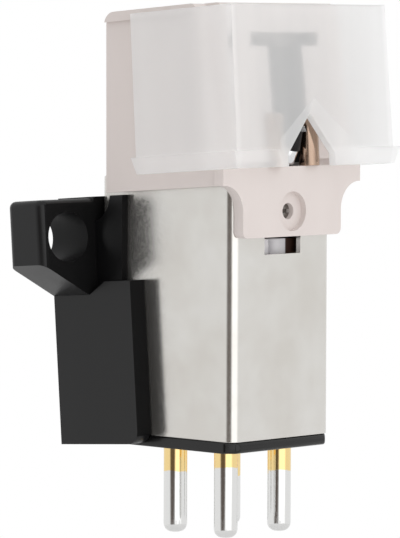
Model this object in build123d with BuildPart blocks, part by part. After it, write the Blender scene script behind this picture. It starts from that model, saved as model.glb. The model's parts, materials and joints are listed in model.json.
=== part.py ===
# Phono cartridge with a pull-out stylus and a clear stylus guard.
# Frame: X from the mounting face to the record side, Y across, Z up to the stylus end.
# Origin on the mounting face, midway between the two screw holes. Sizes in millimetres.
import os
from math import cos, radians, sin, tan

from build123d import *

os.makedirs("parts", exist_ok=True)

# Fits, the can's tilt, and a cut length that passes right through any piece
glue_gap = 0.04
slide_gap = 0.05
tilt = 4.2
past = 20.0

# Shield can
can_back = 2.6
can_face = 12.4
can_half = 3.88
can_rear = -10.35
can_front = 3.5
can_wall = 0.35
can_bend = 0.6
can_break = 0.15
slot_half = 1.41
slot_reach = 4.05
slot_rear = can_front - slot_reach
slot_deep = 2.2
slot_floor = can_face - slot_deep

# Mounting bracket
screw_spacing = 12.7
screw_slot_width = 2.6
screw_slot_length = 2.95
ear_over = 1.92
ear_half = screw_spacing / 2 + ear_over
ear_thick = 2.7
ear_front = 2.02
ear_rear = -1.43
ear_round = 0.5
ear_brow = 0.35
wall_thick = 0.45
wall_half = can_half + wall_thick
wall_deep = 4.73
wall_front = 2.1
scoop_low = 0.75
scoop_deep = 1.25
scoop_round = 1.55
block_thick = 1.12
block_half = can_half + block_thick
block_deep = 5.8
block_front = -2.48
block_over = 0.85
block_rear = can_rear - block_over
gusset_rear = -3.17
block_step = 1.2
block_round = 0.7

# Terminal plate and pins
plate_thick = 0.6
plate_proud = 0.08
plate_corner = 0.6
plate_round = 0.25
plug_high = 0.4
boss_r = 0.65
boss_high = 0.2
boss_in = 6.0
boss_x = can_face - boss_in
pin_r = 0.635
pin_in = 3.95
pin_x = can_face - pin_in
pin_dx = 3.7
pin_dy = 4.2
pin_out = 4.7
pin_tip = 0.45
pin_tail = 0.5
pin_tail_side = 0.75

# Stylus holder
cheek_thick = 1.5
holder_half = can_half + cheek_thick
skirt_high = 1.25
holder_rear = can_front - skirt_high
cap_high = 8.3
holder_front = can_front + cap_high
holder_back_rear = 4.58
holder_back_front = 5.25
under_out = 0.65
under_rear = can_face + under_out
under_in = 0.45
under_front = can_face - under_in
corner_r = 0.75
under_r = 0.4
pad_inset = 0.98
pad_half = holder_half - pad_inset
pad_out_rear = 0.85
pad_rear = can_face + pad_out_rear
pad_out_front = 0.5
pad_front = can_face + pad_out_front
panel_deep = 0.18
rim_wide = 0.52
panel_front = holder_front - rim_wide
shoulder_r = 1.45
shoulder_land = 0.09
tab_thick = 0.7
tab_face = can_face + tab_thick
tab_half = holder_half - shoulder_r - shoulder_land
tab_long = 3.1
tab_rear = can_front - tab_long
tab_round = 0.35
wing_low = 0.3
wing_rear = can_front - wing_low
wing_high = 0.6
wing_front = can_front + wing_high
recess_r = 1.05
recess_deep = 0.35
recess_low = 1.78
recess_z = can_front - recess_low
hollow_half = 2.6
hollow_round = 0.5
hollow_in_back = 6.1
hollow_back = can_face - hollow_in_back
hollow_in_front = 2.8
hollow_deep = can_face - hollow_in_front
hollow_roof = 1.4
hollow_front = holder_front - hollow_roof
groove_half = 1.3
groove_roof = 0.9
groove_front = holder_front - groove_roof
cross_half = 2.6
cross_reach = 2.3
cross_low = holder_front - cross_reach
cross_wide = 0.7
cross_in = 1.2
cross_floor = can_face - cross_in
rib_side = 0.11
rib_half = slot_half - rib_side
rib_end_gap = 0.2
rib_back = slot_floor + rib_end_gap
rib_inset = 0.1
rib_rear = tab_rear + rib_inset
rib_front = holder_rear

# Coils and cores
core_deep = 1.6
core_thick = 0.7
arm_high = 1.0
arm_low = 0.6
arm_front = can_front - arm_low
arm_in = 0.5
arm_end = can_face - arm_in
bobbin_gap = 0.13
bobbin_apart = 0.06
bobbin_wide = can_half - can_wall - bobbin_gap - bobbin_apart
bobbin_deep = 6.4
bobbin_round = 0.4
bobbin_lift = 1.75
bobbin_rear = can_rear + bobbin_lift
bobbin_clear = 0.3
bobbin_front = rib_rear - bobbin_clear
coil_y = bobbin_apart + bobbin_wide / 2
flange = 0.4
head_flange = 1.2
hub_wall_deep = 0.4
hub_deep = core_deep + 2 * hub_wall_deep
hub_wall = 0.35
hub_wide = core_thick + 2 * hub_wall
coil_inset = 0.2
coil_round = 0.7

# Cantilever and its suspension, measured along the cantilever from its pivot
lever_angle = 24.0
pivot_in = 0.7
pivot_x = can_face - pivot_in
pivot_low = 0.9
pivot_z = can_front - pivot_low
sleeve_r = 0.6
sleeve_rear = -1.6
sleeve_front = -0.3
wire_r = 0.13
wire_front = 0.9
wire_room = 0.12
damper_r = sleeve_r - slide_gap
damper_half = 0.24
lever_rear = 0.3
stem_r = 0.4
collar_thick = 0.13
collar_r = stem_r + collar_thick
collar_rear = 1.95
collar_front = 2.75
lever_step = 0.2
lever_r = stem_r + lever_step
lever_end_r = 0.32
lever_end = 4.3
magnet_side = 0.5
magnet_out = 0.68
magnet_rear = 0.35
magnet_front = 1.4
tunnel_gap = 0.15
tunnel_r = stem_r + tunnel_gap
tunnel_long = 3.0
tip_at = 4.0
tip_side = 0.28
tip_root = -0.12
tip_shank = 0.45
tip_point = 0.75
tip_flat = 0.04
screw_r = 0.43
screw_sink = 0.3
screw_slit = 0.2

# Stylus guard
guard_fit = 0.1
guard_back = 7.8
guard_clear = 1.9
guard_inner_face = can_face + guard_clear
guard_thick = 0.8
guard_face = guard_inner_face + guard_thick
guard_lift = 0.83
guard_rear = holder_rear + guard_lift
guard_short = 0.25
guard_front = holder_front - guard_short
guard_side = 0.67
guard_half_rear = holder_half + guard_fit + guard_side
guard_draft = 0.12
guard_half_front = guard_half_rear - guard_draft
lip_high = 0.9
lip_out = 0.38
notch_half = 3.3
notch_legs = 1.92
notch_straight = guard_rear + notch_legs
notch_high = 4.04
notch_apex = guard_rear + notch_high
notch_bevel = 1.48
notch_rise = 1.27
notch_land = 0.45
notch_low = guard_rear - lip_out

# Frames of the tilted can and of the cantilever
run = (sin(radians(tilt)), 0, cos(radians(tilt)))
out = (cos(radians(tilt)), 0, -sin(radians(tilt)))
can_plan = Plane(origin=(0, 0, 0), x_dir=out, z_dir=run)
can_side = Plane(origin=(0, 0, 0), x_dir=out, z_dir=(0, -1, 0))
can_flat = Plane(origin=(0, 0, 0), x_dir=(0, 1, 0), z_dir=out)
lean = tilt + lever_angle
lever_run = (sin(radians(lean)), 0, cos(radians(lean)))
lever_out = (cos(radians(lean)), 0, -sin(radians(lean)))
pivot = can_plan.from_local_coords(Vector(pivot_x, 0, pivot_z))
lever_plan = Plane(origin=pivot, x_dir=lever_out, z_dir=lever_run)
lever_side = Plane(origin=pivot, x_dir=lever_out, z_dir=(0, -1, 0))

can_deep = can_face - can_back
can_mid = (can_face + can_back) / 2
plate_rear = can_rear - plate_thick
plug_front = can_rear + plug_high
wall_lean = tan(radians(tilt))
screw_s = (recess_z - pivot_z) / cos(radians(lever_angle))
screw_axis_x = pivot_x + screw_s * sin(radians(lever_angle))
screw_seat = screw_axis_x + wire_r / cos(radians(lever_angle)) + slide_gap / 2
screw_top = tab_face - recess_deep - screw_sink

# Moulded bracket: ears, gussets, walls and block around a tilted pocket for the can
with BuildPart() as mount_bracket:
    with BuildSketch(Plane.XZ) as block_profile:
        with BuildLine():
            Polyline(
                (0, gusset_rear),
                (ear_thick, gusset_rear),
                (ear_thick + block_step, block_front),
                (block_deep, block_front),
                (block_deep, block_rear),
                (0, block_rear),
                close=True,
            )
        make_face()
        fillet(block_profile.vertices().sort_by(Axis.Y)[:2].sort_by(Axis.X)[-1], radius=block_round)
    extrude(amount=block_half, both=True)
    with BuildSketch(Plane.XZ):
        with BuildLine():
            Polyline(
                (0, gusset_rear),
                (wall_deep + gusset_rear * wall_lean, gusset_rear),
                (wall_deep + wall_front * wall_lean, wall_front),
                (0, wall_front),
                close=True,
            )
        make_face()
    extrude(amount=wall_half, both=True)
    with BuildSketch(Plane.YZ):
        with BuildLine():
            Polyline(
                (-ear_half, ear_front),
                (ear_half, ear_front),
                (ear_half, ear_rear),
                (block_half, gusset_rear),
                (-block_half, gusset_rear),
                (-ear_half, ear_rear),
                close=True,
            )
        make_face()
    extrude(amount=ear_thick)
    uprights = mount_bracket.edges().filter_by(Axis.Z)
    tips = uprights.filter_by_position(Axis.Y, -ear_half - 0.1, -ear_half + 0.1)
    tips += uprights.filter_by_position(Axis.Y, ear_half - 0.1, ear_half + 0.1)
    fillet(tips, radius=ear_round)
    ear_tops = mount_bracket.faces().filter_by(Axis.Y).sort_by(Axis.Y)
    brow = ear_tops[0].edges().sort_by(Axis.Z)[-1:] + ear_tops[-1].edges().sort_by(Axis.Z)[-1:]
    fillet(brow, radius=ear_brow)
    with BuildSketch(can_plan):
        with Locations((can_mid, 0)):
            Rectangle(can_deep + 2 * glue_gap, 2 * (can_half + glue_gap))
    extrude(amount=past, both=True, mode=Mode.SUBTRACT)
    with BuildSketch(can_plan.offset(can_rear + glue_gap)):
        with Locations((can_mid, 0)):
            Rectangle(can_deep + 2 * (plate_proud + glue_gap), 2 * (can_half + plate_proud + glue_gap))
    extrude(amount=-past, mode=Mode.SUBTRACT)
    with BuildSketch(Plane.XZ):
        with BuildLine():
            Polyline(
                (ear_thick, scoop_low),
                (ear_thick, wall_front + scoop_deep),
                (ear_thick + scoop_deep, wall_front + scoop_deep),
                (ear_thick + scoop_deep, wall_front),
            )
            RadiusArc((ear_thick + scoop_deep, wall_front), (ear_thick, scoop_low), scoop_round)
        make_face()
    extrude(amount=past, both=True, mode=Mode.SUBTRACT)
    with BuildSketch(Plane.YZ):
        with Locations((-screw_spacing / 2, 0), (screw_spacing / 2, 0)):
            SlotOverall(screw_slot_length, screw_slot_width)
    extrude(amount=ear_thick, mode=Mode.SUBTRACT)

# Drawn shield can, open at the rear, with a slot for the stylus in its record side
with BuildPart() as shield_can:
    with BuildSketch(can_plan.offset(can_rear)):
        with Locations((can_mid, 0)):
            RectangleRounded(can_deep, 2 * can_half, can_bend)
    extrude(amount=can_front - can_rear)
    chamfer(shield_can.faces().sort_by(Axis.Z)[-1].edges(), length=can_break)
    with BuildSketch(can_plan.offset(can_rear)):
        with Locations((can_mid, 0)):
            RectangleRounded(can_deep - 2 * can_wall, 2 * (can_half - can_wall), can_bend - can_wall)
    extrude(amount=can_front - can_rear - can_wall, mode=Mode.SUBTRACT)
    with BuildSketch(can_side):
        with Locations((slot_floor, slot_rear)):
            Rectangle(past, past, align=(Align.MIN, Align.MIN))
    extrude(amount=slot_half, both=True, mode=Mode.SUBTRACT)

# Moulded terminal plate with a plug that fits inside the can
with BuildPart() as terminal_plate:
    with BuildSketch(can_plan.offset(plate_rear)) as plate_outline:
        with Locations((can_mid, 0)):
            Rectangle(can_deep + 2 * plate_proud, 2 * (can_half + plate_proud))
        chamfer(plate_outline.vertices(), length=plate_corner)
    extrude(amount=plate_thick)
    fillet(terminal_plate.faces().sort_by(Axis.Z)[0].edges(), radius=plate_round)
    with BuildSketch(can_plan.offset(can_rear)):
        with Locations((can_mid, 0)):
            Rectangle(
                can_deep - 2 * can_wall - 2 * can_bend * 0.2 - 2 * slide_gap,
                2 * (can_half - can_wall - can_bend * 0.2 - slide_gap),
            )
    extrude(amount=plug_high)
    with BuildSketch(can_plan.offset(plate_rear)):
        with Locations((boss_x, 0)):
            Circle(boss_r)
    extrude(amount=-boss_high)
    with BuildSketch(can_plan.offset(plate_rear)):
        with Locations((pin_x, 0)):
            with GridLocations(pin_dx, pin_dy, 2, 2):
                Rectangle(pin_tail_side, pin_tail_side)
    extrude(amount=past, both=True, mode=Mode.SUBTRACT)

# Four round contact pins, pressed through the terminal plate
pin_rear = plate_rear - pin_out
tail_high = plate_thick + plug_high + pin_tail
with BuildPart() as pin_left_signal:
    with BuildSketch(can_plan.offset(pin_rear)):
        with Locations((pin_x - pin_dx / 2, -pin_dy / 2)):
            Circle(pin_r)
    extrude(amount=pin_out)
    fillet(pin_left_signal.edges().sort_by(Axis.Z)[0], radius=pin_tip)
    with BuildSketch(can_plan.offset(plate_rear)):
        with Locations((pin_x - pin_dx / 2, -pin_dy / 2)):
            Rectangle(pin_tail_side, pin_tail_side)
    extrude(amount=tail_high)

with BuildPart() as pin_left_ground:
    with BuildSketch(can_plan.offset(pin_rear)):
        with Locations((pin_x + pin_dx / 2, -pin_dy / 2)):
            Circle(pin_r)
    extrude(amount=pin_out)
    fillet(pin_left_ground.edges().sort_by(Axis.Z)[0], radius=pin_tip)
    with BuildSketch(can_plan.offset(plate_rear)):
        with Locations((pin_x + pin_dx / 2, -pin_dy / 2)):
            Rectangle(pin_tail_side, pin_tail_side)
    extrude(amount=tail_high)

with BuildPart() as pin_right_signal:
    with BuildSketch(can_plan.offset(pin_rear)):
        with Locations((pin_x - pin_dx / 2, pin_dy / 2)):
            Circle(pin_r)
    extrude(amount=pin_out)
    fillet(pin_right_signal.edges().sort_by(Axis.Z)[0], radius=pin_tip)
    with BuildSketch(can_plan.offset(plate_rear)):
        with Locations((pin_x - pin_dx / 2, pin_dy / 2)):
            Rectangle(pin_tail_side, pin_tail_side)
    extrude(amount=tail_high)

with BuildPart() as pin_right_ground:
    with BuildSketch(can_plan.offset(pin_rear)):
        with Locations((pin_x + pin_dx / 2, pin_dy / 2)):
            Circle(pin_r)
    extrude(amount=pin_out)
    fillet(pin_right_ground.edges().sort_by(Axis.Z)[0], radius=pin_tip)
    with BuildSketch(can_plan.offset(plate_rear)):
        with Locations((pin_x + pin_dx / 2, pin_dy / 2)):
            Rectangle(pin_tail_side, pin_tail_side)
    extrude(amount=tail_high)

# Bent soft-iron cores: each runs up through its coil and turns out to the magnets
with BuildPart() as core_left:
    with BuildSketch(Plane(can_side.origin + Vector(0, -coil_y, 0), out, (0, -1, 0))):
        with BuildLine():
            Polyline(
                (pin_x - core_deep / 2, plug_front),
                (pin_x + core_deep / 2, plug_front),
                (pin_x + core_deep / 2, arm_front - arm_high),
                (arm_end, arm_front - arm_high),
                (arm_end, arm_front),
                (pin_x - core_deep / 2, arm_front),
                close=True,
            )
        make_face()
    extrude(amount=core_thick / 2, both=True)

with BuildPart() as core_right:
    add(mirror(core_left.part, about=Plane.XZ, mode=Mode.PRIVATE))

# Moulded bobbins with a flange at each end, the thicker one behind the can's slot
with BuildPart() as bobbin_left:
    with BuildSketch(can_plan.offset(bobbin_rear)):
        with Locations((pin_x, -coil_y)):
            RectangleRounded(bobbin_deep, bobbin_wide, bobbin_round)
    extrude(amount=flange)
    with BuildSketch(can_plan.offset(bobbin_front)):
        with Locations((pin_x, -coil_y)):
            RectangleRounded(bobbin_deep, bobbin_wide, bobbin_round)
    extrude(amount=-head_flange)
    with BuildSketch(can_plan.offset(bobbin_rear)):
        with Locations((pin_x, -coil_y)):
            Rectangle(hub_deep, hub_wide)
    extrude(amount=bobbin_front - bobbin_rear)
    with BuildSketch(can_plan.offset(bobbin_rear)):
        with Locations((pin_x, -coil_y)):
            Rectangle(core_deep + 2 * slide_gap, core_thick + 2 * slide_gap)
    extrude(amount=bobbin_front - bobbin_rear, mode=Mode.SUBTRACT)

with BuildPart() as bobbin_right:
    add(mirror(bobbin_left.part, about=Plane.XZ, mode=Mode.PRIVATE))

# Windings of fine enamelled wire, each wound as one solid bundle
with BuildPart() as coil_left:
    with BuildSketch(can_plan.offset(bobbin_rear + flange)):
        with Locations((pin_x, -coil_y)):
            RectangleRounded(bobbin_deep - 2 * coil_inset, bobbin_wide - 2 * coil_inset, coil_round)
            Rectangle(hub_deep, hub_wide, mode=Mode.SUBTRACT)
    extrude(amount=bobbin_front - bobbin_rear - flange - head_flange)

with BuildPart() as coil_right:
    add(mirror(coil_left.part, about=Plane.XZ, mode=Mode.PRIVATE))

# Moulded stylus holder: cap over the can, tab over the slot, groove for the cantilever
with BuildPart() as stylus_holder:
    with BuildSketch(Plane.XZ) as holder_profile:
        with BuildLine():
            Polyline(
                (holder_back_rear, holder_rear),
                (holder_back_front, holder_front),
                (under_front, holder_front),
                (under_rear, holder_rear),
                close=True,
            )
        make_face()
        fillet(holder_profile.vertices().group_by(Axis.Y)[-1].sort_by(Axis.X)[0], radius=corner_r)
        fillet(holder_profile.vertices().group_by(Axis.Y)[-1].sort_by(Axis.X)[-1], radius=under_r)
    extrude(amount=holder_half, both=True)
    with BuildSketch(Plane.XZ) as pad_profile:
        with BuildLine():
            Polyline(
                (hollow_deep, can_front),
                (hollow_deep, holder_front),
                (pad_front, holder_front),
                (pad_rear, can_front),
                close=True,
            )
        make_face()
        fillet(pad_profile.vertices().group_by(Axis.Y)[-1].sort_by(Axis.X)[-1], radius=under_r)
    extrude(amount=pad_half, both=True)
    with BuildSketch(Plane.XZ.offset(holder_half - panel_deep)):
        with Locations((0, panel_front)):
            Rectangle(past, past, align=(Align.MIN, Align.MAX))
    extrude(amount=past, mode=Mode.SUBTRACT)
    with BuildSketch(Plane.XZ.offset(panel_deep - holder_half)):
        with Locations((0, panel_front)):
            Rectangle(past, past, align=(Align.MIN, Align.MAX))
    extrude(amount=-past, mode=Mode.SUBTRACT)
    with BuildSketch(can_flat.offset(tab_face)) as tab_outline:
        with BuildLine():
            Polyline(
                (-tab_half, tab_rear),
                (tab_half, tab_rear),
                (tab_half, wing_rear),
                (holder_half, wing_rear),
                (holder_half, wing_front),
                (-holder_half, wing_front),
                (-holder_half, wing_rear),
                (-tab_half, wing_rear),
                close=True,
            )
        make_face()
        fillet(tab_outline.vertices().group_by(Axis.Y)[1].sort_by(Axis.X)[1:3], radius=shoulder_r)
        fillet(tab_outline.vertices().group_by(Axis.Y)[0], radius=tab_round)
    extrude(amount=-(tab_face - can_face - slide_gap))
    with BuildSketch(can_side):
        with Locations((rib_back, rib_rear)):
            Rectangle(can_face + slide_gap - rib_back, rib_front - rib_rear, align=(Align.MIN, Align.MIN))
    extrude(amount=rib_half, both=True)
    with BuildSketch(can_plan.offset(can_front + slide_gap)):
        with Locations((can_mid, 0)):
            Rectangle(can_deep + 2 * slide_gap, 2 * (can_half + slide_gap))
        with Locations(((rib_back + can_face + slide_gap) / 2, 0)):
            Rectangle(can_face + slide_gap - rib_back, 2 * rib_half, mode=Mode.SUBTRACT)
    extrude(amount=-past, mode=Mode.SUBTRACT)
    with BuildSketch(can_side):
        with Locations((rib_back, rib_front)):
            Rectangle(can_face + slide_gap - rib_back, wing_front - rib_front, align=(Align.MIN, Align.MIN))
    extrude(amount=rib_half, both=True, mode=Mode.SUBTRACT)
    with BuildSketch(can_plan.offset(can_front)):
        with Locations(((hollow_back + hollow_deep) / 2, 0)):
            RectangleRounded(hollow_deep - hollow_back, 2 * hollow_half, hollow_round)
    extrude(amount=hollow_front - can_front, mode=Mode.SUBTRACT)
    with BuildSketch(can_side):
        with Locations((slot_floor, wing_front)):
            Rectangle(past, groove_front - wing_front, align=(Align.MIN, Align.MIN))
    extrude(amount=groove_half, both=True, mode=Mode.SUBTRACT)
    with BuildSketch(Plane.XZ):
        with Locations((cross_floor, cross_low)):
            Rectangle(past, cross_wide, align=(Align.MIN, Align.MIN))
    extrude(amount=cross_half, both=True, mode=Mode.SUBTRACT)
    with BuildSketch(lever_plan.offset(sleeve_rear)):
        Circle(sleeve_r)
    extrude(amount=lever_rear - sleeve_rear, mode=Mode.SUBTRACT)
    with BuildSketch(lever_plan.offset(sleeve_front)):
        Circle(tunnel_r)
    extrude(amount=tunnel_long, mode=Mode.SUBTRACT)
    with BuildSketch(can_flat.offset(tab_face)):
        with Locations((0, recess_z)):
            Circle(recess_r)
    extrude(amount=-recess_deep, mode=Mode.SUBTRACT)
    with BuildSketch(can_flat.offset(tab_face)):
        with Locations((0, recess_z)):
            Circle(screw_r)
    extrude(amount=-(tab_face - screw_axis_x), mode=Mode.SUBTRACT)

# Metal sleeve that carries the cantilever's suspension, set in the holder's rib
with BuildPart() as suspension_sleeve:
    with BuildSketch(lever_plan.offset(sleeve_rear)):
        Circle(sleeve_r)
        Circle(wire_r + slide_gap, mode=Mode.SUBTRACT)
    extrude(amount=sleeve_front - sleeve_rear)
    with BuildSketch(can_flat.offset(screw_axis_x)):
        with Locations((0, recess_z)):
            Circle(screw_r)
    extrude(amount=past, mode=Mode.SUBTRACT)

# Grub screw that clamps the tension wire, with a slot across its head
with BuildPart() as set_screw:
    with BuildSketch(can_flat.offset(screw_seat)):
        with Locations((0, recess_z)):
            Circle(screw_r)
    extrude(amount=screw_top - screw_seat)
    with BuildSketch(can_flat.offset(screw_top)):
        with Locations((0, recess_z)):
            Rectangle(2 * recess_r, screw_slit)
    extrude(amount=-screw_slit, mode=Mode.SUBTRACT)

# Tension wire along the middle of the suspension
with BuildPart() as tension_wire:
    with BuildSketch(lever_plan.offset(sleeve_rear)):
        Circle(wire_r)
    extrude(amount=wire_front - sleeve_rear)

# Rubber damper ring at the pivot
with BuildPart() as damper:
    with BuildSketch(lever_plan.offset(-damper_half)):
        Circle(damper_r)
        Circle(wire_r + wire_room, mode=Mode.SUBTRACT)
    extrude(amount=2 * damper_half)

# Cantilever of black filled plastic, turned with a stem for the collar and a tapered arm
with BuildPart() as cantilever:
    with BuildSketch(lever_side):
        with BuildLine():
            Polyline(
                (0, lever_rear),
                (stem_r, lever_rear),
                (stem_r, collar_front),
                (lever_r, collar_front),
                (lever_end_r, lever_end),
                (0, lever_end),
                close=True,
            )
        make_face()
    revolve(axis=Axis(pivot, Vector(*lever_run)))
    with BuildSketch(lever_plan.offset(lever_rear)):
        Circle(wire_r + wire_room)
    extrude(amount=wire_front + wire_room - lever_rear, mode=Mode.SUBTRACT)
    with BuildSketch(lever_plan):
        with PolarLocations(magnet_out, 2, start_angle=135, angular_range=90, endpoint=True):
            Rectangle(magnet_side, magnet_side)
    extrude(amount=magnet_front, mode=Mode.SUBTRACT)
    with BuildSketch(Plane(lever_plan.origin, (0, 1, 0), lever_out)):
        with Locations((0, tip_at)):
            Rectangle(tip_side, tip_side)
    extrude(amount=past, both=True, mode=Mode.SUBTRACT)

# Bright collar pressed on the cantilever's stem
with BuildPart() as cantilever_collar:
    with BuildSketch(lever_plan.offset(collar_rear)):
        Circle(collar_r)
        Circle(stem_r, mode=Mode.SUBTRACT)
    extrude(amount=collar_front - collar_rear)

# Two bar magnets set in a vee on the cantilever's stem
with BuildPart() as magnet_left:
    with BuildSketch(lever_plan.offset(magnet_rear)):
        with PolarLocations(magnet_out, 1, start_angle=225):
            Rectangle(magnet_side, magnet_side)
    extrude(amount=magnet_front - magnet_rear)

with BuildPart() as magnet_right:
    with BuildSketch(lever_plan.offset(magnet_rear)):
        with PolarLocations(magnet_out, 1, start_angle=135):
            Rectangle(magnet_side, magnet_side)
    extrude(amount=magnet_front - magnet_rear)

# Diamond tip with a square shank and a four-sided point
tip_plane = Plane(lever_plan.origin, (0, 1, 0), lever_out)
with BuildPart() as stylus_tip:
    with BuildSketch(tip_plane.offset(tip_root)):
        with Locations((0, tip_at)):
            Rectangle(tip_side, tip_side)
    extrude(amount=tip_shank - tip_root)
    with BuildSketch(tip_plane.offset(tip_shank)):
        with Locations((0, tip_at)):
            Rectangle(tip_side, tip_side)
    with BuildSketch(tip_plane.offset(tip_point)):
        with Locations((0, tip_at)):
            Rectangle(tip_flat, tip_flat)
    loft()

# Clear guard: a channel with drafted walls, a flared lip and a bevelled peak-shaped notch
guard_inner_half = holder_half + guard_fit
with BuildPart() as stylus_guard:
    with BuildSketch(Plane.XY.offset(guard_rear)):
        with Locations((guard_back, 0)):
            Rectangle(guard_face - guard_back, 2 * guard_half_rear, align=(Align.MIN, Align.CENTER))
    with BuildSketch(Plane.XY.offset(guard_front)):
        with Locations((guard_back, 0)):
            Rectangle(guard_face - guard_back, 2 * guard_half_front, align=(Align.MIN, Align.CENTER))
    loft()
    with BuildSketch(Plane.XY.offset(guard_rear)):
        with Locations((guard_back, 0)):
            Rectangle(guard_face - guard_back, 2 * guard_half_rear, align=(Align.MIN, Align.CENTER))
    with BuildSketch(Plane.XY.offset(guard_rear + lip_high)):
        with Locations((guard_back, 0)):
            Rectangle(
                guard_face + lip_out / 2 - guard_back,
                2 * (guard_half_rear + lip_out),
                align=(Align.MIN, Align.CENTER),
            )
    loft()
    with BuildSketch(Plane.XY.offset(guard_rear)):
        with Locations((0, 0)):
            Rectangle(
                guard_inner_face,
                2 * guard_inner_half,
                align=(Align.MIN, Align.CENTER),
            )
    extrude(amount=guard_front - guard_rear, mode=Mode.SUBTRACT)
    with BuildSketch(Plane.YZ.offset(guard_inner_face + notch_land)):
        with BuildLine():
            Polyline(
                (notch_bevel - notch_half, notch_low),
                (notch_half - notch_bevel, notch_low),
                (notch_half - notch_bevel, notch_straight - notch_rise),
                (0, notch_apex - notch_rise),
                (notch_bevel - notch_half, notch_straight - notch_rise),
                close=True,
            )
        make_face()
    extrude(amount=-past, mode=Mode.SUBTRACT)
    with BuildSketch(Plane.YZ.offset(guard_inner_face + notch_land)):
        with BuildLine():
            Polyline(
                (notch_bevel - notch_half, notch_low),
                (notch_half - notch_bevel, notch_low),
                (notch_half - notch_bevel, notch_straight - notch_rise),
                (0, notch_apex - notch_rise),
                (notch_bevel - notch_half, notch_straight - notch_rise),
                close=True,
            )
        make_face()
    with BuildSketch(Plane.YZ.offset(guard_face + lip_out / 2)):
        with BuildLine():
            Polyline(
                (-notch_half, notch_low),
                (notch_half, notch_low),
                (notch_half, notch_straight),
                (0, notch_apex),
                (-notch_half, notch_straight),
                close=True,
            )
        make_face()
    loft(mode=Mode.SUBTRACT)

mount_bracket.part.label = "mount_bracket"
shield_can.part.label = "shield_can"
terminal_plate.part.label = "terminal_plate"
pin_left_signal.part.label = "pin_left_signal"
pin_left_ground.part.label = "pin_left_ground"
pin_right_signal.part.label = "pin_right_signal"
pin_right_ground.part.label = "pin_right_ground"
core_left.part.label = "core_left"
core_right.part.label = "core_right"
bobbin_left.part.label = "bobbin_left"
bobbin_right.part.label = "bobbin_right"
coil_left.part.label = "coil_left"
coil_right.part.label = "coil_right"
stylus_holder.part.label = "stylus_holder"
suspension_sleeve.part.label = "suspension_sleeve"
set_screw.part.label = "set_screw"
tension_wire.part.label = "tension_wire"
damper.part.label = "damper"
cantilever.part.label = "cantilever"
cantilever_collar.part.label = "cantilever_collar"
magnet_left.part.label = "magnet_left"
magnet_right.part.label = "magnet_right"
stylus_tip.part.label = "stylus_tip"
stylus_guard.part.label = "stylus_guard"

export_step(mount_bracket.part, "parts/mount_bracket.step")
export_step(shield_can.part, "parts/shield_can.step")
export_step(terminal_plate.part, "parts/terminal_plate.step")
export_step(pin_left_signal.part, "parts/pin_left_signal.step")
export_step(pin_left_ground.part, "parts/pin_left_ground.step")
export_step(pin_right_signal.part, "parts/pin_right_signal.step")
export_step(pin_right_ground.part, "parts/pin_right_ground.step")
export_step(core_left.part, "parts/core_left.step")
export_step(core_right.part, "parts/core_right.step")
export_step(bobbin_left.part, "parts/bobbin_left.step")
export_step(bobbin_right.part, "parts/bobbin_right.step")
export_step(coil_left.part, "parts/coil_left.step")
export_step(coil_right.part, "parts/coil_right.step")
export_step(stylus_holder.part, "parts/stylus_holder.step")
export_step(suspension_sleeve.part, "parts/suspension_sleeve.step")
export_step(set_screw.part, "parts/set_screw.step")
export_step(tension_wire.part, "parts/tension_wire.step")
export_step(damper.part, "parts/damper.step")
export_step(cantilever.part, "parts/cantilever.step")
export_step(cantilever_collar.part, "parts/cantilever_collar.step")
export_step(magnet_left.part, "parts/magnet_left.step")
export_step(magnet_right.part, "parts/magnet_right.step")
export_step(stylus_tip.part, "parts/stylus_tip.step")
export_step(stylus_guard.part, "parts/stylus_guard.step")
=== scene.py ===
import json
import math

import bpy
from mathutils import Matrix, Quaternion, Vector

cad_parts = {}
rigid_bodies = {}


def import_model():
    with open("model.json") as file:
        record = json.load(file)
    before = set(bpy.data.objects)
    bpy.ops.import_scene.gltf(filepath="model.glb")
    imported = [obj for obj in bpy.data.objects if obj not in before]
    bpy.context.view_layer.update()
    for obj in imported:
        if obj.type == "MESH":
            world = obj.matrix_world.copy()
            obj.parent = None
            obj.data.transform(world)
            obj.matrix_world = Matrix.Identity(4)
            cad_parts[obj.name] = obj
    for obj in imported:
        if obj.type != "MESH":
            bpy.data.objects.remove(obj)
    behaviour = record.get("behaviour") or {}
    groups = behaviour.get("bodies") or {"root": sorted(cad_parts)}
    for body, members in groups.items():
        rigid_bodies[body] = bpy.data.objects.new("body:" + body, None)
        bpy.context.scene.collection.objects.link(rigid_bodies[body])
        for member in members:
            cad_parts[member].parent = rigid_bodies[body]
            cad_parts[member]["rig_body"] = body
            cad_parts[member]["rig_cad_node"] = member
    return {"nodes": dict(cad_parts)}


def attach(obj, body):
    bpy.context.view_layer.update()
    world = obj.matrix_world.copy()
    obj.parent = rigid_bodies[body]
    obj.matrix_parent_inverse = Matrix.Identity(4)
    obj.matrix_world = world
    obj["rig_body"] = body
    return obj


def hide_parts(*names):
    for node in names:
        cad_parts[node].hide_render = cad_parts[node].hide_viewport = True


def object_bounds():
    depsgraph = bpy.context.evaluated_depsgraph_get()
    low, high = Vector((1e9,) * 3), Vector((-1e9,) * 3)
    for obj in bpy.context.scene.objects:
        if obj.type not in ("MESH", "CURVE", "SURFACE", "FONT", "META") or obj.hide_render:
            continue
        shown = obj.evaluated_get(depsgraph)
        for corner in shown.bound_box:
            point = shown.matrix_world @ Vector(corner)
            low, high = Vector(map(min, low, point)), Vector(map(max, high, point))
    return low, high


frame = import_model()
cad_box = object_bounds()

# The mounting bracket is one injection moulding in black satin plastic, with two screw ears,
# thin walls beside the can and a block behind it. The can is glued into its pocket.
MM = 0.001
WELD = 0.0005 * MM
FLAT_ANGLE = math.radians(0.4)
EDGE_ANGLE = math.radians(32)
SMOOTH_ANGLE = math.radians(40)
LARGE_FACE_WEIGHT = 95


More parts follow.
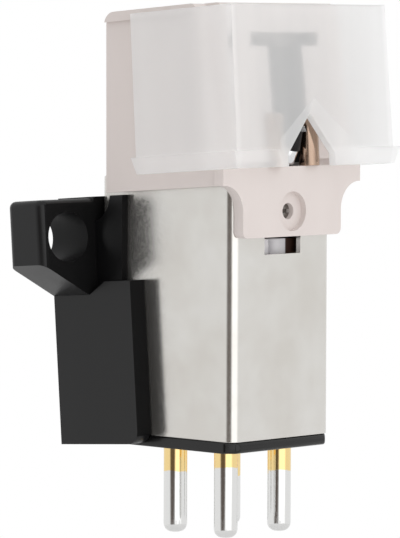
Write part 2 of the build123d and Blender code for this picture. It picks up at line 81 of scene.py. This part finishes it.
def softened(node, edge, steps=2):
    """Copies a CAD piece, joins its facets and rounds its sharp edges as a mould or press leaves them."""
    bpy.ops.object.select_all(action="DESELECT")
    solid = frame["nodes"][node]
    body = solid["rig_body"]
    piece = solid.copy()
    piece.data = solid.data.copy()
    piece.name = node + "_finished"
    piece.data.materials.clear()
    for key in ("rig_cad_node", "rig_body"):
        del piece[key]
    bpy.context.scene.collection.objects.link(piece)
    piece.select_set(True)
    bpy.context.view_layer.objects.active = piece
    bpy.ops.mesh.customdata_custom_splitnormals_clear()
    bpy.ops.object.mode_set(mode="EDIT")
    bpy.ops.mesh.select_all(action="SELECT")
    bpy.ops.mesh.remove_doubles(threshold=WELD)
    bpy.ops.mesh.dissolve_limited(angle_limit=FLAT_ANGLE)
    bpy.ops.object.mode_set(mode="OBJECT")
    if edge:
        rounding = piece.modifiers.new("rounded edges", "BEVEL")
        rounding.width = edge * MM
        rounding.segments = steps
        rounding.limit_method = "ANGLE"
        rounding.angle_limit = EDGE_ANGLE
        rounding.use_clamp_overlap = True
        bpy.ops.object.modifier_apply(modifier=rounding.name)
    bpy.ops.object.shade_smooth_by_angle(angle=SMOOTH_ANGLE)
    evened = piece.modifiers.new("even shading", "WEIGHTED_NORMAL")
    evened.keep_sharp = True
    evened.weight = LARGE_FACE_WEIGHT
    bpy.ops.object.modifier_apply(modifier=evened.name)
    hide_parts(node)
    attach(piece, body)
    return piece


def new_finish(name, colour, rough, metal=0.0):
    """A material with one principled shader, and Object coordinates to drive its patterns."""
    finish = bpy.data.materials.new(name)
    finish.use_nodes = True
    tree = finish.node_tree
    shader = tree.nodes["Principled BSDF"]
    shader.inputs["Base Color"].default_value = (*colour, 1)
    shader.inputs["Roughness"].default_value = rough
    shader.inputs["Metallic"].default_value = metal
    place = tree.nodes.new("ShaderNodeTexCoord")
    return finish, tree, shader, place.outputs["Object"]


def grain(tree, coords, size, detail=3.0, stretch=(1, 1, 1)):
    """Noise with features of the given size in millimetres, stretched along the given axes."""
    scaling = tree.nodes.new("ShaderNodeMapping")
    scaling.inputs["Scale"].default_value = [1 / (size * MM * s) for s in stretch]
    tree.links.new(coords, scaling.inputs["Vector"])
    noise = tree.nodes.new("ShaderNodeTexNoise")
    noise.inputs["Scale"].default_value = 1.0
    noise.inputs["Detail"].default_value = detail
    tree.links.new(scaling.outputs["Vector"], noise.inputs["Vector"])
    return noise.outputs["Fac"]


def spread(tree, value, low, high, start=0.3, end=0.7):
    """Maps a pattern from start..end to low..high."""
    ramp = tree.nodes.new("ShaderNodeMapRange")
    ramp.inputs["From Min"].default_value = start
    ramp.inputs["From Max"].default_value = end
    ramp.inputs["To Min"].default_value = low
    ramp.inputs["To Max"].default_value = high
    tree.links.new(value, ramp.inputs["Value"])
    return ramp.outputs["Result"]


def tint(tree, share, first, second):
    """Mixes two colours by a pattern. Each may be a pattern itself."""
    mix = tree.nodes.new("ShaderNodeMix")
    mix.data_type = "RGBA"
    for name, colour in (("A", first), ("B", second)):
        if isinstance(colour, bpy.types.NodeSocket):
            tree.links.new(colour, mix.inputs[name])
        else:
            mix.inputs[name].default_value = (*colour, 1)
    tree.links.new(share, mix.inputs["Factor"])
    return mix.outputs["Result"]


def relief(tree, shader, value, strength, depth):
    """Bumps a shader by a pattern, with the given depth in millimetres."""
    bump = tree.nodes.new("ShaderNodeBump")
    bump.inputs["Strength"].default_value = strength
    bump.inputs["Distance"].default_value = depth * MM
    tree.links.new(value, bump.inputs["Height"])
    tree.links.new(bump.outputs["Normal"], shader.inputs["Normal"])


def moulded_plastic(name, colour, paler, rough, gloss=0.5):
    """Satin moulded plastic with a fine spark-eroded grain and faint flow marks."""
    finish, tree, shader, coords = new_finish(name, colour, rough)
    flow = grain(tree, coords, size=3.0, stretch=(1, 1, 2.5))
    fine = grain(tree, coords, size=0.06)
    tree.links.new(tint(tree, spread(tree, flow, 0, 1), colour, paler), shader.inputs["Base Color"])
    tree.links.new(spread(tree, flow, rough - 0.05, rough + 0.05), shader.inputs["Roughness"])
    relief(tree, shader, fine, strength=0.25, depth=0.006)
    shader.inputs["Specular IOR Level"].default_value = gloss
    return finish


SCREW_Y = 6.35
HOLE_REACH_Y = 1.7
HOLE_REACH_Z = 1.25
bracket = softened("mount_bracket", 0.07)
for name, colour, paler, rough, gloss in (
    ("black_plastic", (0.0040, 0.0040, 0.0044), (0.0065, 0.0065, 0.007), 0.34, 0.34),
    ("matt_black", (0.0045, 0.0045, 0.0047), (0.0065, 0.0065, 0.0068), 0.6, 0.1),
    ("screw_hole_black", (0.005, 0.005, 0.0055), (0.008, 0.008, 0.0088), 0.45, 0.2),
):
    bracket.data.materials.append(moulded_plastic(name, colour, paler, rough, gloss))
SATIN, MATT, HOLE_WALL = range(3)
for face in bracket.data.polygons:
    beside_screw = abs(abs(face.center.y) - SCREW_Y * MM)
    if face.normal.x > 0.9:
        face.material_index = MATT
    elif (
        beside_screw < HOLE_REACH_Y * MM
        and abs(face.center.z) < HOLE_REACH_Z * MM
        and abs(face.normal.x) < 0.3
    ):
        face.material_index = HOLE_WALL
    else:
        face.material_index = SATIN

# The shield can is drawn from bright nickel silver sheet, with the fine pitted skin of rolled metal.
# It slides into the bracket's pocket and is closed at its rear by the terminal plate.
can = softened("shield_can", 0.03)
can_finish, tree, shader, coords = new_finish("drawn_metal", (0.70, 0.685, 0.655), 0.2, metal=0.92)
clouds = spread(tree, grain(tree, coords, size=2.6, detail=4.0), 0, 1)
specks = grain(tree, coords, size=0.08, detail=1.0)
can_colour = tint(tree, clouds, (0.68, 0.655, 0.615), (0.745, 0.73, 0.70))
tree.links.new(can_colour, shader.inputs["Base Color"])
tree.links.new(spread(tree, specks, 0.15, 0.26), shader.inputs["Roughness"])
relief(tree, shader, specks, strength=0.08, depth=0.006)
can.data.materials.append(can_finish)

# The terminal plate is a small black moulding, pushed into the can's open end and glued.
# It carries the four contact pins.
plate = softened("terminal_plate", 0.17, 3)
plate.data.materials.append(
    moulded_plastic("terminal_black", (0.004, 0.004, 0.004), (0.007, 0.007, 0.007), 0.24, 0.4)
)

# The contact pins are turned brass, plated with gold where they leave the plate and dipped in
# tin below that. The tin ends in an uneven line, at a different height on each pin.
CAN_TILT = math.radians(4.2)
TIN = (0.80, 0.80, 0.79)
GOLD = (0.94, 0.71, 0.33)
TIN_SWING = 0.5
TIN_BLEND = 0.06


def calc(tree, operation, *values):
    """A maths node on patterns or plain numbers."""
    sums = tree.nodes.new("ShaderNodeMath")
    sums.operation = operation
    for socket, value in zip(sums.inputs, values):
        if isinstance(value, bpy.types.NodeSocket):
            tree.links.new(value, socket)
        else:
            socket.default_value = value
    return sums.outputs["Value"]


def along(tree, coords, direction):
    """How far a place lies in a direction."""
    measure = tree.nodes.new("ShaderNodeVectorMath")
    measure.operation = "DOT_PRODUCT"
    measure.inputs[1].default_value = direction
    tree.links.new(coords, measure.inputs[0])
    return measure.outputs["Value"]


def plated_pin(name, tin_line):
    """Bright tin up to the given height along the pin, and gold above it."""
    finish, tree, shader, coords = new_finish(name, TIN, 0.08, metal=1.0)
    height = along(tree, coords, (math.sin(CAN_TILT), 0, math.cos(CAN_TILT)))
    ragged = calc(tree, "MULTIPLY_ADD", grain(tree, coords, size=1.1), TIN_SWING * MM, height)
    middle = tin_line + TIN_SWING / 2
    low, high = (middle - TIN_BLEND / 2) * MM, (middle + TIN_BLEND / 2) * MM
    gold_share = spread(tree, ragged, 0, 1, low, high)
    tree.links.new(tint(tree, gold_share, TIN, GOLD), shader.inputs["Base Color"])
    tree.links.new(spread(tree, grain(tree, coords, size=0.25), 0.05, 0.14), shader.inputs["Roughness"])
    relief(tree, shader, grain(tree, coords, size=0.3, detail=2.0), strength=0.25, depth=0.006)
    return finish


for node, tin_line in (
    ("pin_left_signal", -12.35),
    ("pin_left_ground", -11.9),
    ("pin_right_signal", -12.95),
    ("pin_right_ground", -12.35),
):
    pin = softened(node, 0)
    pin.data.materials.append(plated_pin(node + "_plating", tin_line))

# Inside the can two moulded bobbins carry the coils of enamelled copper wire, and a bent
# soft-iron core runs through each. They are slid in before the plate closes the can.
PAINTED_SHADE_EDGE = 0.98 * MM, 1.04 * MM
WIRE_TURN = 0.5


def axes_of(tree):
    """The place on the piece along X, Y and Z."""
    place = tree.nodes.new("ShaderNodeTexCoord")
    parts = tree.nodes.new("ShaderNodeSeparateXYZ")
    tree.links.new(place.outputs["Object"], parts.inputs["Vector"])
    return parts.outputs


def overlay(finish, share, colour):
    """Lays a second colour over a finish by a pattern."""
    tree = finish.node_tree
    base = tree.nodes["Principled BSDF"].inputs["Base Color"]
    tree.links.new(tint(tree, share, base.links[0].from_socket, colour), base)


def grained(name, colour, rough, size, metal=0.0, pits=0.0):
    """A finish whose roughness wanders between two values, with fine pits if they have a size."""
    finish, tree, shader, coords = new_finish(name, colour, rough[0], metal)
    tree.links.new(spread(tree, grain(tree, coords, size), *rough), shader.inputs["Roughness"])
    if pits:
        relief(tree, shader, grain(tree, coords, pits), strength=0.2, depth=0.004)
    return finish


def coat(finish, *nodes):
    """Gives its finish to each CAD piece that keeps its own mesh."""
    for node in nodes:
        frame["nodes"][node].data.materials[0] = finish


bobbin_finish = moulded_plastic("bobbin_white", (0.84, 0.83, 0.86), (0.90, 0.89, 0.91), 0.45)
tree = bobbin_finish.node_tree
# Painted shade: past about 1 mm along Y the bobbins' white turns near-black brown, for the shade at the
# right of the can's window.
overlay(bobbin_finish, spread(tree, axes_of(tree)["Y"], 0, 1, *PAINTED_SHADE_EDGE), (0.045, 0.02, 0.013))
coat(bobbin_finish, "bobbin_left", "bobbin_right")
coil_finish, tree, shader, coords = new_finish("enamelled_wire", (0.45, 0.16, 0.06), 0.3, metal=0.8)
turns = tree.nodes.new("ShaderNodeTexWave")
turns.bands_direction = "Z"
turns.inputs["Scale"].default_value = 1 / (WIRE_TURN * MM)
turns.inputs["Distortion"].default_value = 1.5
tree.links.new(coords, turns.inputs["Vector"])
coil_colour = tint(tree, turns.outputs["Fac"], (0.30, 0.09, 0.03), (0.55, 0.22, 0.08))
tree.links.new(coil_colour, shader.inputs["Base Color"])
relief(tree, shader, turns.outputs["Fac"], strength=0.6, depth=0.02)
coat(coil_finish, "coil_left", "coil_right")
core_finish = grained("soft_iron", (0.30, 0.29, 0.28), (0.3, 0.5), 0.4, metal=1.0, pits=0.08)
coat(core_finish, "core_left", "core_right")

# The stylus holder is one moulding in cream plastic: a cap that pushes over the can's end, a
# tab over the can's slot, and a groove with a crossbar in its record side, both painted dark as shade.
GROOVE = (10.0, -1.34, 3.35), (13.1, 1.34, 9.95)
CROSSBAR = (11.4, -2.64, 9.48), (12.92, 2.64, 10.22)


def inside_box(tree, axes, low, high):
    """One inside a box given by two corners in millimetres, and zero outside it."""
    share = None
    for axis, start, end in zip("XYZ", low, high):
        near = calc(tree, "COMPARE", axes[axis], (start + end) / 2 * MM, (end - start) / 2 * MM)
        share = near if share is None else calc(tree, "MULTIPLY", share, near)
    return share


holder = softened("stylus_holder", 0.05)
cream = moulded_plastic("cream_plastic", (0.715, 0.645, 0.618), (0.745, 0.675, 0.648), 0.42)
tree = cream.node_tree
axes = axes_of(tree)
# Painted shade: inside the groove and crossbar boxes the cream is overlaid with near-black.
groove_shade = calc(tree, "MAXIMUM", inside_box(tree, axes, *GROOVE), inside_box(tree, axes, *CROSSBAR))
overlay(cream, groove_shade, (0.035, 0.032, 0.033))
holder.data.materials.append(cream)

# A metal sleeve in the holder's rib carries the suspension. A grub screw under the tab's
# recess clamps the tension wire, and a rubber ring damps the cantilever at its pivot.
coat(grained("sleeve_brass", (0.70, 0.58, 0.36), (0.22, 0.4), 0.15, metal=1.0), "suspension_sleeve")
screw_finish = grained("screw_steel", (0.24, 0.225, 0.21), (0.14, 0.26), 0.12, metal=1.0, pits=0.05)
coat(screw_finish, "set_screw", "tension_wire")
coat(grained("damper_rubber", (0.02, 0.02, 0.02), (0.6, 0.8), 0.1), "damper")

# The cantilever is a tapered arm of black filled plastic with a bright collar pressed on its
# stem, two small bar magnets set in a vee at its root and a ground diamond at its end.
lever = softened("cantilever", 0)
lever.data.materials.append(
    moulded_plastic("lever_black", (0.010, 0.009, 0.009), (0.016, 0.014, 0.013), 0.5, 0.15)
)
collar = softened("cantilever_collar", 0.02)
collar.data.materials.append(grained("collar_bright", (0.80, 0.80, 0.81), (0.1, 0.22), 0.1, metal=1.0))
magnet_finish = grained("magnet_grey", (0.30, 0.30, 0.32), (0.35, 0.6), 0.08, metal=0.9)
coat(magnet_finish, "magnet_left", "magnet_right")
tip_finish = grained("diamond", (0.9, 0.92, 0.93), (0.03, 0.1), 0.05)
shader = tip_finish.node_tree.nodes["Principled BSDF"]
shader.inputs["IOR"].default_value = 2.4
shader.inputs["Transmission Weight"].default_value = 0.9
coat(tip_finish, "stylus_tip")

# Two short bronze tubes are let into the plate, one on either side of the groove, as stops for
# the cantilever. Each is cut from drawn tube and pressed in.
STOP_R = 0.55
STOP_FOOT = 3.12
STOP_END = 5.9
STOP_X = 13.25
STOP_Y = 1.44
STOP_WALL = 0.12
STOP_BORE = 0.8
STOP_ROUND = 0.03
bronze, tree, shader, coords = new_finish("bronze_tube", (0.43, 0.31, 0.235), 0.18, metal=1.0)
drawn = spread(tree, grain(tree, coords, size=0.08, stretch=(1, 1, 12)), 0, 1)
bronze_colour = tint(tree, drawn, (0.40, 0.285, 0.215), (0.46, 0.335, 0.255))
tree.links.new(bronze_colour, shader.inputs["Base Color"])
tree.links.new(spread(tree, grain(tree, coords, size=0.15), 0.14, 0.24), shader.inputs["Roughness"])
for side, name in ((-1, "stop_left"), (1, "stop_right")):
    bpy.ops.object.select_all(action="DESELECT")
    bpy.ops.mesh.primitive_cylinder_add(
        vertices=40,
        radius=STOP_R * MM,
        depth=(STOP_END - STOP_FOOT) * MM,
        location=(STOP_X * MM, side * STOP_Y * MM, (STOP_END + STOP_FOOT) / 2 * MM),
    )
    stop = bpy.context.object
    stop.name = name
    bpy.ops.object.transform_apply(location=True, rotation=True, scale=True)
    bpy.ops.object.mode_set(mode="EDIT")
    bpy.ops.mesh.select_all(action="DESELECT")
    bpy.ops.object.mode_set(mode="OBJECT")
    for face in stop.data.polygons:
        face.select = face.normal.z > 0.9
    bpy.ops.object.mode_set(mode="EDIT")
    bpy.ops.mesh.select_mode(type="FACE")
    bpy.ops.mesh.inset(thickness=STOP_WALL * MM)
    bpy.ops.mesh.extrude_region_move(TRANSFORM_OT_translate={"value": (0, 0, -STOP_BORE * MM)})
    bpy.ops.object.mode_set(mode="OBJECT")
    rounding = stop.modifiers.new("turned edges", "BEVEL")
    rounding.width = STOP_ROUND * MM
    rounding.segments = 2
    rounding.angle_limit = math.radians(50)
    bpy.ops.object.modifier_apply(modifier=rounding.name)
    bpy.ops.object.shade_smooth_by_angle(angle=SMOOTH_ANGLE)
    stop.data.materials.append(bronze)
    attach(stop, "stylus_unit")

# The stylus guard is a clear moulding with a frosted skin: a channel that slides over the
# holder, with a flared lip and a bevelled notch that shows the cantilever.
HAZE = (0.80, 0.80, 0.80), (0.85, 0.847, 0.843)
PAINTED_PALE = (0.93, 0.93, 0.93)
FREE_WALL_X = 12.6 * MM, 13.2 * MM
FREE_WALL_Y = 5.7 * MM, 5.95 * MM
LIP_TOP = 3.95 * MM, 4.15 * MM
BEVEL_X = 14.32
BEVEL_Y = 3.5
BEVEL_Z = 8.0
BEVEL_SLANT = 0.12


def misty_plastic(name, share_through, rough):
    """Clear plastic with a milky haze, with painted light making it paler on its free side walls and lip.
    It casts no shadow.
    """
    finish, tree, shader, coords = new_finish(name, HAZE[0], rough)
    mist = grain(tree, coords, size=1.6, detail=2.0, stretch=(1, 1, 12))
    tree.links.new(tint(tree, spread(tree, mist, 0, 1), *HAZE), shader.inputs["Base Color"])
    tree.links.new(spread(tree, mist, rough - 0.03, rough + 0.03), shader.inputs["Roughness"])
    axes = axes_of(tree)
    out_from_can = spread(tree, axes["X"], 0.5, 1, *FREE_WALL_X)
    at_side = spread(tree, calc(tree, "ABSOLUTE", axes["Y"]), 0, 1, *FREE_WALL_Y)
    on_lip = spread(tree, axes["Z"], 0.5, 0, *LIP_TOP)
    # Painted light: the base colour is paler on the side walls clear of the can and a painted highlight
    # on the lip.
    overlay(finish, calc(tree, "MAXIMUM", calc(tree, "MULTIPLY", out_from_can, at_side), on_lip), PAINTED_PALE)
    relief(tree, shader, grain(tree, coords, size=0.12), strength=0.05, depth=0.004)
    shader.inputs["IOR"].default_value = 1.15
    shader.inputs["Transmission Weight"].default_value = share_through
    rays = tree.nodes.new("ShaderNodeLightPath")
    clear = tree.nodes.new("ShaderNodeBsdfTransparent")
    lets_light_in = tree.nodes.new("ShaderNodeMixShader")
    tree.links.new(rays.outputs["Is Shadow Ray"], lets_light_in.inputs["Fac"])
    tree.links.new(shader.outputs["BSDF"], lets_light_in.inputs[1])
    tree.links.new(clear.outputs["BSDF"], lets_light_in.inputs[2])
    tree.links.new(lets_light_in.outputs["Shader"], tree.nodes["Material Output"].inputs["Surface"])
    return finish


guard = softened("stylus_guard", 0.06)
guard.data.materials.append(misty_plastic("frosted_clear", 0.66, 0.32))
guard.data.materials.append(misty_plastic("frosted_bevel", 0.5, 0.48))
for face in guard.data.polygons:
    x, y, z = face.center / MM
    if x > BEVEL_X and abs(y) < BEVEL_Y and z < BEVEL_Z and abs(face.normal.y) > BEVEL_SLANT:
        face.material_index = 1

# A small round table of pale card stands well under the cartridge. It takes the shadow, and a
# faint glow keeps it white.
FLOOR_DROP = 18.0
FLOOR_R = 60.0
bpy.ops.object.select_all(action="DESELECT")
bpy.ops.mesh.primitive_circle_add(
    vertices=96, radius=FLOOR_R * MM, fill_type="NGON", location=(0, 0, cad_box[0].z - FLOOR_DROP * MM)
)
floor = bpy.context.object
floor.name = "floor"
floor_finish = grained("pale_floor", (0.86, 0.86, 0.86), (0.85, 0.95), 8.0)
shader = floor_finish.node_tree.nodes["Principled BSDF"]
shader.inputs["Specular IOR Level"].default_value = 0.0
shader.inputs["Emission Color"].default_value = (1, 1, 1, 1)
shader.inputs["Emission Strength"].default_value = 0.05
floor.data.materials.append(floor_finish)

# Studio light: a white tent all round, a lamp behind the camera's right shoulder and a dim gap
# to the camera's left. What the camera sees directly or through the guard is plain white.
TENT = (0.90, 0.90, 0.90)
LAMP = (1.5, 1.5, 1.5)
LAMP_PATCH = -20, 26, 42
DIM_GAP = (0.13, 0.11, 0.098)
DIM_PATCH = -75, 18, 32
WHITE = (1, 1, 1)
world = bpy.data.worlds.new("tent")
world.use_nodes = True
bpy.context.scene.world = world
tree = world.node_tree
sky = tree.nodes["Background"]
place = tree.nodes.new("ShaderNodeTexCoord")


def patch(azimuth, inner, outer):
    """One inside a cone of the sky round the given azimuth, falling to zero at its outer angle."""
    azimuth = math.radians(azimuth)
    toward = along(tree, place.outputs["Generated"], (math.cos(azimuth), math.sin(azimuth), 0))
    edges = math.cos(math.radians(outer)), math.cos(math.radians(inner))
    return spread(tree, toward, 0, 1, *edges)


lit = tint(tree, patch(*DIM_PATCH), tint(tree, patch(*LAMP_PATCH), TENT, LAMP), DIM_GAP)
rays = tree.nodes.new("ShaderNodeLightPath")
plain = calc(tree, "MAXIMUM", rays.outputs["Is Camera Ray"], rays.outputs["Is Transmission Ray"])
tree.links.new(tint(tree, plain, lit, WHITE), sky.inputs["Color"])

# The camera stands level with the screw holes, in front of the corner between the can's side
# and its record face.
CAMERA_AT = (152.377, -153.795, -0.108)
CAMERA_AIM = (3.213, 3.183, -2.128)
CAMERA_ROLL = 2.859
lens = bpy.data.cameras.new("photo_view")
lens.sensor_width = 36.0
lens.lens = 263.0
lens.clip_start = 0.01
lens.clip_end = 5.0
camera = bpy.data.objects.new("photo_view", lens)
bpy.context.scene.collection.objects.link(camera)
camera.rotation_mode = "QUATERNION"
camera.location = Vector(CAMERA_AT) * MM
sight = (Vector(CAMERA_AIM) - Vector(CAMERA_AT)).to_track_quat("-Z", "Y")
camera.rotation_quaternion = sight @ Quaternion((0, 0, 1), -math.radians(CAMERA_ROLL))
bpy.context.scene.camera = camera
bpy.context.scene.view_settings.view_transform = "Standard"

bpy.context.view_layer.update()
